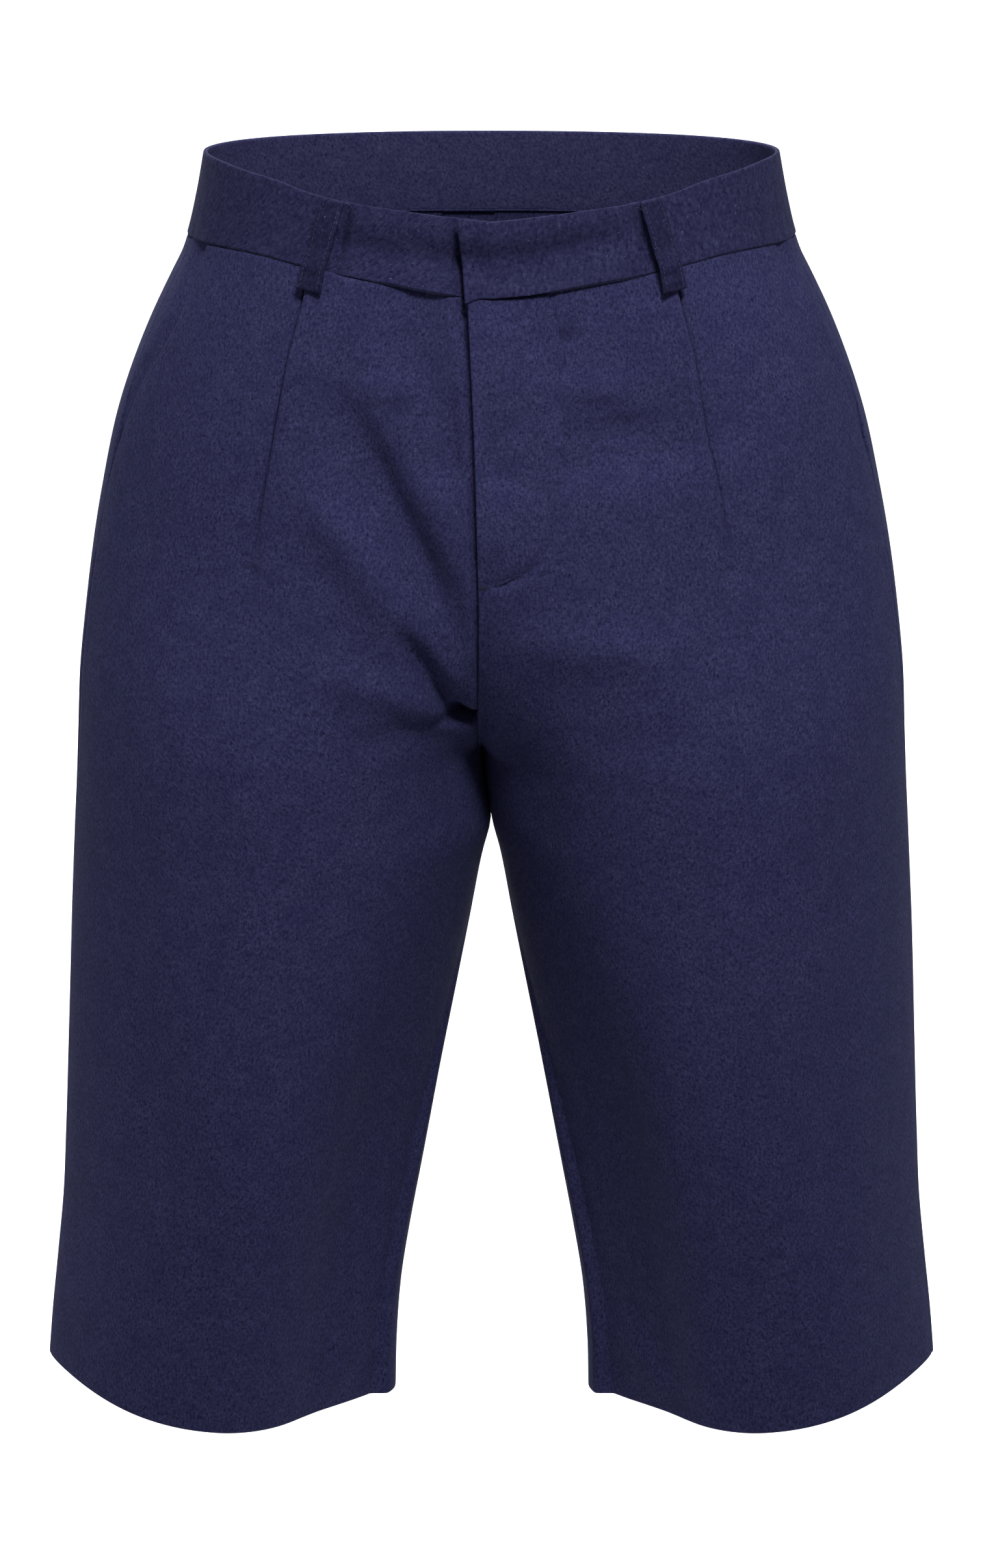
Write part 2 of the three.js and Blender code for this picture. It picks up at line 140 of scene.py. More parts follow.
def frontDip(across, z):
    down = np.clip(z / cut["waistSeamZ"], 0, 1)
    dip = dips["topEdge"](across) * (1 - down) + dips["seam"](across) * down
    return dip * (1 - ease((cut["waistSeamZ"] - z) / (cut["waistSeamZ"] - cut["forkStartZ"])))


def bodyRing(degrees, z):  # 0 degrees is the wearer's left side, 90 the middle front
    c, s = np.cos(np.radians(degrees)), np.sin(np.radians(degrees))
    depth = np.where(s > 0, section["bodyFront"](z), section["bodyBack"](z))
    y = -depth * s * (1 + cut["sideFullness"] * c * c)
    dip = np.where(s > 0, frontDip(np.abs(c), z), 0)
    return np.stack([section["outer"](z) * c, y, z - dip], axis=-1)


def degreesAt(x, z):
    return np.degrees(np.arccos(np.clip(x / section["outer"](z), -1, 1)))


def legRing(share, face, middle, z):  # one leg, drawn for the +X side
    inner = section["gap"](z) + middle
    outer = section["outer"](z)
    halfWidth = (outer - inner) / 2
    start = np.radians(section["inseam"](z) - (0 if face == "front" else 360))
    angle = start + (np.radians(section["side"](z)) - start) * share
    c, s = np.cos(angle), np.sin(angle)
    flat = np.where(c > 0, section["flatOut"](z) * c ** 3, section["flatIn"](z) * c * c)
    depth = np.where(s > 0, section["legFront"](z), section["legBack"](z))
    x = inner + halfWidth + halfWidth * c
    y = -depth * s * (1 - flat)
    tilt = cut["hemSlope"] * np.clip((cut["crotchZ"] - z) / (cut["crotchZ"] - cut["hemZ"]), 0, 1)
    atCrotch = (cut["crotchZ"] - z) * np.maximum(1 - share, 0) ** 2.5
    held = np.where(z > cut["crotchZ"], atCrotch, 0)
    return np.stack([x, y, z - tilt * (outer - x) + held], axis=-1)


def panelSkin(side, face, share, z):  # share 0 is the centre seam and inseam, 1 the side seam
    share, z = np.broadcast_arrays(np.asarray(share, dtype=float), np.asarray(z, dtype=float))
    middle = frontEdge(z) * side
    start = degreesAt(middle, z) * (1 if face == "front" else -1)
    body = bodyRing(start + (section["side"](z) - start) * share, z)
    outwards = ease(share / 0.5)
    forkDepth = cut["forkStartZ"] - cut["crotchZ"] + cut["forkSoftness"] * outwards
    fork = np.clip((cut["forkStartZ"] - z) / forkDepth, 0, 1)
    curved = fork ** (cut["forkCurve"] + (0 if face == "front" else cut["seatCurve"] * (1 - share)))
    soft = 1 - (1 - fork * fork) ** 1.6
    blend = curved * (1 - outwards) + soft * outwards
    point = body + (legRing(share, face, middle, z) - body) * blend[..., None]
    fullness = np.sin(np.pi * np.clip(share, 0, 1)) ** 0.7
    most = cut["thighFullness"] if face == "front" else cut["seatFullness"]
    point[..., 1] *= 1 + most * blend * (1 - blend) ** 1.5 * fullness
    point[..., 0] *= side
    return point


def unit(vectors):
    return vectors / np.linalg.norm(vectors, axis=-1, keepdims=True)


def skinNormal(skin, across, step, z, turn):  # turn is 1 or -1, so that it faces out
    up = 0.4  # mm
    sideways = skin(across + step, z) - skin(across - step, z)
    upwards = skin(across, z + up) - skin(across, z - up)
    return unit(np.cross(sideways, upwards) * turn)


def panelNormal(side, face, share, z):
    turn = side * (1 if face == "front" else -1)
    return skinNormal(lambda s, h: panelSkin(side, face, s, h), share, 0.002, z, turn)


def bandNormal(degrees, z):
    return skinNormal(bodyRing, degrees, 0.1, z, -1)


# Folds and creases: the rise, the widths of the two flanks, and a line of (across, height) points.
# A trough has a negative rise. Across is positive on the wearer's left. The first flank lies on the
# line's right hand as it runs: below, for a trough that comes down from the wearer's right.
# A fold dies away towards both ends of its line, over these shares of its length, and over so many
# millimetres beside a seam.

foldFade = {"start": 0.45, "end": 0.3, "atSeams": 9.0}


def foldTable(*rows):
    return [{"rise": rise, "flanks": flanks, "line": line} for rise, flanks, *line in rows]


frontFolds = foldTable(
    (-11.0, (15, 9), (-74, -72), (-63, -94), (-55, -110), (-45, -134), (-31, -161), (-21, -182),
     (-9, -204)),
    (1.6, (10, 10), (-50, -56), (-35, -92), (-21, -124)),
    (4.2, (10, 9), (-96, -116), (-68, -148), (-47, -172), (-30, -188), (-10, -204)),
    (-8.0, (6, 5), (-46, -184), (-34, -196), (-26, -206), (-19, -215), (-3, -231)),
    (3.6, (9, 7), (-84, -206), (-52, -213), (-34, -218), (-8, -225)),
    (-1.2, (9, 6), (-76, -241), (-52, -238), (-34, -234), (-10, -229)),
    (-5.4, (16, 13), (-31, 30), (-28, -60), (-24, -140)),
    (-5.0, (22, 12), (130, -108), (60, -114), (0, -118), (-50, -124)),
    (3.2, (12, 9), (-14, -190), (36, -195), (90, -204)),
    (-1.4, (10, 12), (30, -236), (60, -240), (96, -236)),
    (-2.6, (12, 15), (-154, -340), (-148, -395), (-141, -470)),
    (-2.6, (15, 12), (154, -336), (147, -400), (140, -475)),
    (3.0, (34, 34), (-108, -250), (-110, -380), (-114, -500)),
    (3.0, (34, 34), (108, -250), (110, -380), (114, -500)),
    (-9.0, (20, 22), (-26, -300), (-50, -420), (-66, -500), (-74, -600)),
    (-9.0, (22, 20), (26, -300), (50, -422), (65, -500), (74, -600)),
    (-9.0, (45, 45), (10, -576), (-55, -584), (-120, -604)),
    (-9.0, (45, 45), (-10, -578), (56, -583), (120, -603)),
)
crotchFolds = foldTable(  # where the legs part, the cloth is full, with the seam sunk in it
    (7.0, (13, 15), (-6, -186), (-4.8, -235), (-2.5, -265), (0, -316)),
    (-3.0, (2, 2), (-5.2, -205), (-4.8, -235), (-3.6, -262), (-1.5, -280)),
)
seamFolds = {
    -1: foldTable(  # folded under beside the crotch seam, and let in under the fly's edge
        (-11.0, (3.2, 2.0), (-26, -226), (-14, -223.5), (0, -221.5), (14, -220)),
        (-3.2, (4, 2.2), (-48, -230), (-30, -227), (-14, -223.5), (4, -221)),
        (-2.8, (1.8, 4), (-11.4, 60), (-10.8, -39), (-8, -120), (-6.6, -172), (-5.6, -214), (-5, -260)),
        (-5.0, (4, 5), (-14.5, 50), (-12.5, -39), (-10.8, -76)),
    ),
    1: foldTable(),
}
backFolds = foldTable(
    (-5.2, (12, 7), (-98, -176), (-74, -203), (-47, -226), (-20, -242)),
    (3.4, (10, 9), (-104, -206), (-78, -228), (-52, -246), (-30, -256)),
    (-4.8, (7, 12), (94, -182), (68, -206), (44, -228), (18, -244)),
    (3.2, (10, 10), (102, -214), (78, -232), (54, -248), (32, -257)),
    (-2.4, (13, 13), (-124, -280), (-110, -345), (-104, -430)),
    (-2.2, (13, 13), (120, -290), (111, -350), (101, -425)),
)
frontCreases = foldTable(
    (1.7, (7, 7), (-34, -203), (-20, -206), (-9, -208)),
    (-1.5, (9, 9), (-72, -150), (-66, -186), (-70, -205)),
    (1.5, (12, 12), (-48, -74), (-44, -92)),
    (1.5, (12, 12), (48, -74), (46, -92)),
    (-1.8, (10, 10), (58, -94), (57, -112)),
    (-1.2, (8, 8), (30, -52), (31, -62)),
    (-1.8, (6, 10), (16, -47), (27, -58), (26, -80)),
    (0.9, (7, 7), (14, -196), (44, -197), (70, -200)),
    (1.2, (12, 12), (-99, -224), (-103, -285), (-108, -341), (-111, -430)),
    (1.2, (12, 12), (99, -224), (104, -289), (107, -345), (112, -424)),
    (1.2, (6, 6), (-190, -501), (-177, -520)),
    (1.2, (6, 6), (190, -500), (178, -519)),
    (3.2, (6, 8), (-49, -509), (-60, -528), (-73, -544)),
    (3.2, (8, 6), (49, -507), (61, -526), (74, -543)),
    (-1.0, (4, 4), (-101, -166), (-103, -173)),
    (-1.0, (4, 4), (101, -166), (103, -173)),
    (-1.2, (9, 9), (-128, -190), (-122, -240), (-124, -290)),
    (-1.2, (9, 9), (127, -196), (121, -244), (123, -286)),
)
backCreases = foldTable(
    (-1.5, (2.2, 2.2), (-54, 50), (-55, -80), (-57, -128)),
    (-1.5, (2.2, 2.2), (54, 50), (55, -82), (57, -131)),
    (1.0, (7, 7), (-57, -116), (-59, -160)),
    (1.0, (7, 7), (57, -118), (58, -158)),
    (-2.4, (6, 4), (-64, -226), (-34, -250), (-10, -266)),
    (-2.2, (4, 6), (66, -230), (36, -252), (11, -265)),
    (0.9, (12, 12), (-100, -235), (-104, -300), (-110, -420)),
    (0.9, (12, 12), (101, -238), (105, -310), (109, -415)),
    (-1, (10, 10), (-152, -262), (-160, -300), (-158, -345)),
    (-1, (10, 10), (150, -268), (159, -306), (157, -340)),
    (0.9, (7, 7), (-52, -500), (-66, -522), (-80, -540)),
    (0.9, (7, 7), (53, -498), (66, -520), (79, -541)),
    (-2.0, (7, 7), (-24, -284), (-62, -299), (-104, -304)),
    (-1.9, (7, 7), (26, -282), (64, -298), (100, -305)),
)
flyLine = ((25, -37), (25, -140), (24.2, -152), (22, -159), (18, -165), (12, -169), (5, -171.5),
           (-5, -172))
flyGroove = foldTable(
    (-1.5, (1.5, 1.5), (25, 60), *flyLine[1:], (-60, -173)),
    (-1.1, (3.5, 1.8), (24, -150), *flyLine[3:], (-20, -173)),
)
bandDents = foldTable(
    (-4.6, (12, 7), (-40, -18), (16, -19), (66, -15)),
    (-3.4, (12, 7), (-88, -20), (-42, -21), (10, -19)),
    (-3.4, (1.8, 2.2), (-54, 36), (-60.3, 0), (-68.3, -40)),
    (-3.0, (2.2, 1.8), (54, 36), (60.3, 0), (68.3, -40)),
)
# The band's inner end, pressed in beside the edge that laps over it
underLap = foldTable((-5.6, (4.5, 14), (-16, 50), (-14.4, -4), (-11.4, -36), (-9, -80)))


def foldRise(folds, x, z):
    rise = np.zeros(np.broadcast(x, z).shape)
    for fold in folds:
        nearest = np.full(rise.shape, np.inf)
        onLeft = np.zeros(rise.shape, dtype=bool)
        run = np.zeros(rise.shape)
        passed = 0
        for (x0, z0), (x1, z1) in zip(fold["line"], fold["line"][1:]):
            dx, dz = x1 - x0, z1 - z0
            t = np.clip(((x - x0) * dx + (z - z0) * dz) / (dx * dx + dz * dz), 0, 1)
            away = np.hypot(x - x0 - t * dx, z - z0 - t * dz)
            closer = away < nearest
            onLeft = np.where(closer, dx * (z - z0) - dz * (x - x0) > 0, onLeft)
            run = np.where(closer, passed + t * np.hypot(dx, dz), run)
            nearest = np.minimum(nearest, away)
            passed += np.hypot(dx, dz)
        flank = np.where(onLeft, fold["flanks"][1], fold["flanks"][0])
        share = run / passed
        fading = ease(share / foldFade["start"]) * ease((1 - share) / foldFade["end"])
        rise += fold["rise"] * fading * np.exp(-((nearest / flank) ** 2))
    return rise


# Long faint waves, so that no stretch of cloth is quite even; three sines in each direction
def looseness(x, z, seed):
    a, b, c = seed * 1.7, seed * 2.9, seed * 4.3
    wave = np.sin(x / 23 + z / 61 + a) + 0.7 * np.sin(x / 37 - z / 29 + b)
    wave = wave + 0.5 * np.sin(x / 13 + z / 47 + c) * np.sin(z / 19 - x / 51 + a)
    return 0.16 * wave


cloth = {
    "wall": 0.9,           # brushed twill
    "foldThickness": 1.9,  # two layers pressed together
    "edgeRound": 1.6,
    "seamTurn": 10.0,      # seam allowance pressed back under its own panel
    "turnPoints": 9,
    "sharpAngle": 62,
}


def turnedEdge(reach, steps):
    # From the cut edge under the panel, round the fold, to the face: across and depth, out and in
    angle = np.linspace(np.pi, 0, cloth["turnPoints"])
    half = cloth["foldThickness"] / 2
    across = cloth["edgeRound"] * (1 - np.sqrt(np.sin(angle).clip(0, 1)))
    depth = -half * (1 - np.sign(np.cos(angle)) * np.sqrt(np.abs(np.cos(angle))))
    innerAcross = np.maximum(across, cloth["wall"] + 0.05 * (1 - np.sin(angle)))
    innerDepth = -cloth["wall"] - 0.1 * angle / np.pi
    under = np.linspace(reach, cloth["edgeRound"], steps, endpoint=False)
    flat = np.ones(steps)
    return {
        "across": np.concatenate([under, across]),
        "depth": np.concatenate([-2 * half * flat, depth]),
        "innerAcross": np.concatenate([under, innerAcross]),
        "innerDepth": np.concatenate([(-cloth["wall"] - 0.1) * flat, innerDepth]),
    }


def gridLength(points, axis):  # running length along the rows or columns of a grid
    steps = np.linalg.norm(np.diff(points, axis=axis), axis=-1)
    total = np.cumsum(steps, axis=axis)
    return np.concatenate([np.zeros_like(np.take(total, [0], axis=axis)), total], axis=axis)


def newPiece(name, points, faces, *materials):  # points in metres
    mesh = bpy.data.meshes.new(name)
    mesh.from_pydata(points, [], faces)
    mesh.polygons.foreach_set("use_smooth", np.ones(len(faces), dtype=bool))
    for material in materials:
        mesh.materials.append(material)
    piece = bpy.data.objects.new(name, mesh)
    bpy.context.collection.objects.link(piece)
    return piece


def wallMesh(name, outer, inner, material, uv=None, lining=()):
    rows, columns = outer.shape[:2]
    points = np.concatenate([outer.reshape(-1, 3), inner.reshape(-1, 3)]) * mm
    index = np.arange(rows * columns).reshape(rows, columns)
    under = index + rows * columns

    def quads(a, b, c, d):
        return np.stack([a.ravel(), b.ravel(), c.ravel(), d.ravel()], axis=1)

    faces = np.concatenate([
        quads(index[:-1, :-1], index[1:, :-1], index[1:, 1:], index[:-1, 1:]),
        quads(under[:-1, :-1], under[:-1, 1:], under[1:, 1:], under[1:, :-1]),
        quads(under[:-1, 0], under[1:, 0], index[1:, 0], index[:-1, 0]),
        quads(index[:-1, -1], index[1:, -1], under[1:, -1], under[:-1, -1]),
        quads(index[0, :-1], index[0, 1:], under[0, 1:], under[0, :-1]),
        quads(under[-1, :-1], under[-1, 1:], index[-1, 1:], index[-1, :-1]),
    ])
    a, b, c, d = (points[faces[:, i]] for i in range(4))
    volume = np.einsum("ij,ij->i", a, np.cross(b, c)) + np.einsum("ij,ij->i", a, np.cross(c, d))
    if volume.sum() < 0:
        faces = faces[:, ::-1]
    piece = newPiece(name, points.tolist(), faces.tolist(), material, *lining)
    mesh = piece.data
    if uv is None:
        uv = np.stack([gridLength(outer, 1), -gridLength(outer, 0)], axis=-1)
    corners = np.concatenate([uv.reshape(-1, 2)] * 2) * mm
    layer = mesh.uv_layers.new(name="grain")
    layer.data.foreach_set("uv", corners[faces.ravel()].ravel().astype(np.float32))
    mesh.set_sharp_from_angle(angle=math.radians(cloth["sharpAngle"]))
    if lining:
        quadCount = (rows - 1) * (columns - 1)
        which = np.zeros(len(faces), dtype=np.int32)
        which[quadCount:2 * quadCount] = 1
        mesh.polygons.foreach_set("material_index", which)
    mesh.update()
    return piece


def finishPiece(piece, slot, *nodes):
    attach(piece, "root")
    if nodes:
        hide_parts(*nodes)


# Materials

def srgb(code):
    parts = [int(code[i:i + 2], 16) / 255 for i in (1, 3, 5)]
    linear = [p / 12.92 if p <= 0.04045 else ((p + 0.055) / 1.055) ** 2.4 for p in parts]
    return (*linear, 1.0)


def addNode(tree, kind, settings=None, **inputs):
    node = tree.nodes.new(kind)
    for key, value in (settings or {}).items():
        setattr(node, key, value)
    for key, value in inputs.items():
        socket = node.inputs[int(key[1:])] if key[1:].isdigit() else node.inputs[key.replace("_", " ")]
        if isinstance(value, bpy.types.NodeSocket):
            tree.links.new(value, socket)
        else:
            socket.default_value = value
    return node


def newMaterial(name):
    material = bpy.data.materials.new(name)
    material.use_nodes = True
    material.node_tree.nodes.clear()
    return material, material.node_tree


twill = {
    "deep": "#080826",
    "base": "#1f1f43",
    "raised": "#43446b",
    "fleck": "#4a5578",
    "wale": 0.9,       # mm between twill lines; real ones are 0.6 and too fine to show
    "waleAngle": 58,
    "fuzz": 1.15,      # mm, clumps of brushed fibre
    "streakAngle": 6,  # fibres lie nearly down the leg
    "streakShape": (2.4, 0.9, 1.0),
    "mottle": 9.0,     # mm, cloudy patches of nap
    "relief": 0.16,    # mm
    "roughness": 0.93,
    "sheen": 0.02,
    "sheenTint": "#8a9cc8",
    "specular": 0.06,
}


def brushedTwill(name, settings):
    # Woven wool-blend twill with a brushed face: matt, soft-edged, with paler fibre ends
    material, tree = newMaterial(name)
    place = addNode(tree, "ShaderNodeTexCoord").outputs["Object"]
    grain = addNode(tree, "ShaderNodeUVMap", {"uv_map": "grain"}).outputs[0]
    fuzzScale = 1 / (settings["fuzz"] * mm)
    turned = addNode(tree, "ShaderNodeMapping", None, Vector=grain,
                     Rotation=(0, 0, math.radians(settings["waleAngle"])))
    wave = addNode(tree, "ShaderNodeTexWave", {"bands_direction": "X"}, Vector=turned.outputs[0],
                   Scale=math.pi / 10 / (settings["wale"] * mm), Distortion=3.2, Detail=2.0,
                   Detail_Scale=1.6)
    streaked = addNode(tree, "ShaderNodeMapping", None, Vector=grain, Scale=settings["streakShape"],
                       Rotation=(0, 0, math.radians(settings["streakAngle"])))
    # Fuzz, streaks, clouds and pale fibre ends: scale, detail, roughness, where each begins and is
    # full, and how much it may cover
    shares = []
    for space, scale, detail, roughness, low, high, most in (
            (place, fuzzScale, 3.0, 0.62, 0.3, 0.72, 0.6),
            (streaked.outputs[0], 0.55 * fuzzScale, 2.0, 0.55, 0.3, 0.7, 0.4),
            (place, 1 / (settings["mottle"] * mm), 4.0, 0.6, 0.3, 0.7, 0.45),
            (place, 1.6 * fuzzScale, 1.0, 0.5, 0.7, 0.78, 0.75)):
        noise = addNode(tree, "ShaderNodeTexNoise", None, Vector=space, Scale=scale, Detail=detail,
                        Roughness=roughness)
        shares.append(addNode(tree, "ShaderNodeMapRange", {"clamp": True}, _0=noise.outputs[0],
                              _1=low, _2=high, _3=0.0, _4=most).outputs[0])
    nap = addNode(tree, "ShaderNodeMath", {"operation": "ADD"}, _0=shares[0], _1=shares[1])
    colour = srgb(settings["deep"])
    for share, over in ((nap.outputs[0], "raised"), (shares[2], "base"), (shares[3], "fleck")):
        colour = addNode(tree, "ShaderNodeMix", {"data_type": "RGBA"}, _0=share, _6=colour,
                         _7=srgb(settings[over])).outputs[2]
    height = addNode(tree, "ShaderNodeMath", {"operation": "MULTIPLY_ADD"}, _0=wave.outputs[1],
                     _1=0.35, _2=nap.outputs[0])
    bump = addNode(tree, "ShaderNodeBump", None, Strength=0.55, Distance=settings["relief"] * mm,
                   Height=height.outputs[0])
    shader = addNode(tree, "ShaderNodeBsdfPrincipled", None, Base_Color=colour,
                     Roughness=settings["roughness"], Specular_IOR_Level=settings["specular"],
                     Sheen_Weight=settings["sheen"], Sheen_Roughness=0.55,
                     Sheen_Tint=srgb(settings["sheenTint"]), Normal=bump.outputs[0])
    addNode(tree, "ShaderNodeOutputMaterial", None, Surface=shader.outputs[0])
    return material


navyTwill = brushedTwill("brushedNavyTwill", twill)
# Fused to a stiff layer, with coarser clumps. Its darker colours are painted shade: a darker copy of the
# same cloth, so the band reads dimmer than the legs
bandTwillPaintedShade = brushedTwill("fusedNavyTwillPaintedShade", {**twill, "base": "#1b1a39", "raised": "#3a3a5c", "fuzz": 1.6})
# Folded small, with coarser clumps. Its darker colours are painted shade: a darker copy of the same cloth,
# so the loops read dimmer
loopTwillPaintedShade = brushedTwill("brushedWoolTwillLoops", {**twill, "deep": "#060620", "base": "#16152f",
                                                   "raised": "#2d2d4b", "fuzz": 1.6})
# The band's inner layer: a paler copy of the same cloth, painted light that lifts the inside of the band,
# which sits in shade
bandFacingPaintedLight = brushedTwill("navyTwillBandFacingPaintedLight", {**twill, "deep": "#101034", "base": "#29284f",
                                                  "raised": "#505076"})


def plainMaterial(name, colour, roughness):  # fibres about 0.9 mm apart, in two shades
    material, tree = newMaterial(name)
    place = addNode(tree, "ShaderNodeTexCoord")
    noise = addNode(tree, "ShaderNodeTexNoise", None, Vector=place.outputs["Object"], Scale=1100.0,
                    Detail=2.0)
    tint = addNode(tree, "ShaderNodeMix", {"data_type": "RGBA"}, _0=noise.outputs[0],
                   _6=srgb(colour[0]), _7=srgb(colour[1]))
    bump = addNode(tree, "ShaderNodeBump", None, Strength=0.4, Distance=0.1 * mm, Height=noise.outputs[0])
    shader = addNode(tree, "ShaderNodeBsdfPrincipled", None, Base_Color=tint.outputs[2],
                     Roughness=roughness, Normal=bump.outputs[0])
    addNode(tree, "ShaderNodeOutputMaterial", None, Surface=shader.outputs[0])
    return material


# Thread spun from short fibres: matches the cloth and is slightly shiny. The fly's thread is coloured
# darker, painted shade for its sunk stitch line
spunThread = plainMaterial("spunPolyesterThread", ("#1d1d3e", "#30304f"), 0.6)
flyThreadPaintedShade = plainMaterial("spunPolyesterThreadPaintedShade", ("#0e0e24", "#1a1a38"), 0.7)
wovenTape = plainMaterial("wovenZipTape", ("#17172c", "#242440"), 0.7)  # flat and close-woven
nylonCoil = plainMaterial("nylonZipCoil", ("#14142a", "#20203a"), 0.35)  # moulded, catches small lights
print("materials made")

# Rows of points down a panel: the waist seam, the body, the leg, and the turned-up hem

panelSteps = {"body": 1.5, "leg": 4.0, "fineEndZ": -282.0, "hem": 2.0, "hemHeight": 26.0,
              "frontColumns": (80, 36), "backColumns": (104,), "closerAtFly": 1.3}


def panelRows():
    top = cut["waistSeamZ"]
    # Heights below the seam and depths, where the edge turns in to it
    rounding = [(-0.6, -1.75), (-0.1, -1.6), (0.15, -1.15), (0.3, -0.65), (0.6, -0.27), (1.0, -0.08)]
    hemFold = turnedEdge(cut["hemTurn"], 10)
    hemTop = cut["hemZ"] + panelSteps["hemHeight"]
    fine = np.arange(top - 1.8, panelSteps["fineEndZ"], -panelSteps["body"])
    coarse = np.arange(panelSteps["fineEndZ"], hemTop, -panelSteps["leg"])
    last = np.arange(hemTop - 1, cut["hemZ"] + 1.8, -panelSteps["hem"])
    middle = np.concatenate([fine, coarse, last])
    foldZ = cut["hemZ"] + hemFold["across"][::-1]
    foldInnerZ = cut["hemZ"] + hemFold["innerAcross"][::-1]
    z = np.concatenate([[top - down for down, _ in rounding], middle, foldZ])
    innerZ = np.concatenate([[top - max(down, 0) for down, _ in rounding], middle, foldInnerZ])
    depth = np.concatenate([[fall for _, fall in rounding], 0 * middle, hemFold["depth"][::-1]])
    sunk = np.array([min(-cloth["wall"], fall - 0.3) for _, fall in rounding])
    innerDepth = np.concatenate([sunk, np.full(len(middle), -cloth["wall"]), hemFold["innerDepth"][::-1]])
    return z[:, None], depth[:, None], innerZ[:, None], innerDepth[:, None]


panelZ, panelDepth, panelInnerZ, panelInnerDepth = panelRows()


def panelWidth(side, face, z):
    z = np.asarray(z, dtype=float).reshape(-1, 1)
    points = panelSkin(side, face, np.linspace(0, 1, 48)[None, :], z)
    return gridLength(points, 1)[:, -1:]


def shareAt(side, across, z):  # where a front is a given distance from the middle
    z = np.asarray(z, dtype=float).reshape(-1, 1)
    across = np.broadcast_to(np.asarray(across, dtype=float).reshape(-1, 1), z.shape)
    shares = np.linspace(-0.12, 1, 320)
    x = panelSkin(side, "front", shares[None, :], z)[..., 0] * side
    return np.array([[np.interp(a[0], row, shares)] for a, row in zip(across, x)])


fly = {"endZ": -172.0, "underlap": 4.0, "raise": 3.0, "raiseWidth": 22.0, "raiseFade": 16.0,
       "raiseAtTop": 0.5, "topFade": 14.0}
sideSeam = {"ridge": 0.7, "fromSeam": 3.2, "width": 2.0, "fade": 8.0}  # its allowance shows through
pleat = {"rise": 4.2, "width": 24.0, "endZ": -182.0, "softWidth": 6.5, "softShift": 0.4}
pleatHeights = smoothCurve([(-36, 0.7), (-56, 1), (-120, 0.75), (-165, 0.3), (-182, 0)])
pleatCrispness = smoothCurve([(-36, 1), (-115, 0.97), (-150, 0.7), (-178, 0.1)])

# The pleat's folded edge in section: how far past its line, and the share of the rise there. It ends
# in a narrow slot at the fold's foot, whose shade draws the line that is seen
pleatSection = ((-5, 0.9), (-3.2, 1), (-1.6, 1.04), (-0.7, 0.96), (-0.1, 0.78), (0.35, 0.5), (0.7, 0.1),
                (0.8, -0.75), (1.5, -0.8), (1.75, -0.1), (2.6, 0.02), (5, 0.04), (9, 0))


def flapRise(x, z):
    fromEdge = x - frontEdge(z) - fly["underlap"]
    fromEnd = ease((z - fly["endZ"] - 4) / fly["raiseFade"])
    fromTop = ease((cut["waistSeamZ"] - 2 - z) / fly["topFade"])
    downwards = fromEnd * (fly["raiseAtTop"] + (1 - fly["raiseAtTop"]) * fromTop)
    return fly["raise"] * downwards * (1 - ease(fromEdge / fly["raiseWidth"]))


def atSeams(share, width):  # folds die away where panels are sewn together
    return ease(share * width / foldFade["atSeams"]) * ease((1 - share) * width / foldFade["atSeams"])


def panelGrid(side, face, share, z, depth, rise, width):
    base = panelSkin(side, face, share, z)
    normal = panelNormal(side, face, share, z)
    lift = rise(base[..., 0], z) * atSeams(share, width)
    fromRidge = ((1 - share) * width - sideSeam["fromSeam"]) / sideSeam["width"]
    belowPocket = ease((cut["pocketEndZ"] - z) / sideSeam["fade"])
    lift = lift + sideSeam["ridge"] * np.exp(-(fromRidge ** 2)) * belowPocket
    if face == "front" and side > 0:
        lift = lift + flapRise(base[..., 0], z)
    straightBack = unit(normal * (0, 1, 1) + (0, 1e-6, 0))  # at the centre seam both sides turn in alike
    atCentre = (1 - ease(share * width / 5)) * ease((z - cut["crotchZ"]) / 25)
    inwards = normal + (straightBack - normal) * atCentre[..., None]
    point = base + normal * lift[..., None] + inwards * depth[..., None]
    if face == "front":  # these go straight back, so that the two fronts stay together
        for folds in (crotchFolds, seamFolds[side]):
            point[..., 1] -= foldRise(folds, base[..., 0], z)
    return point


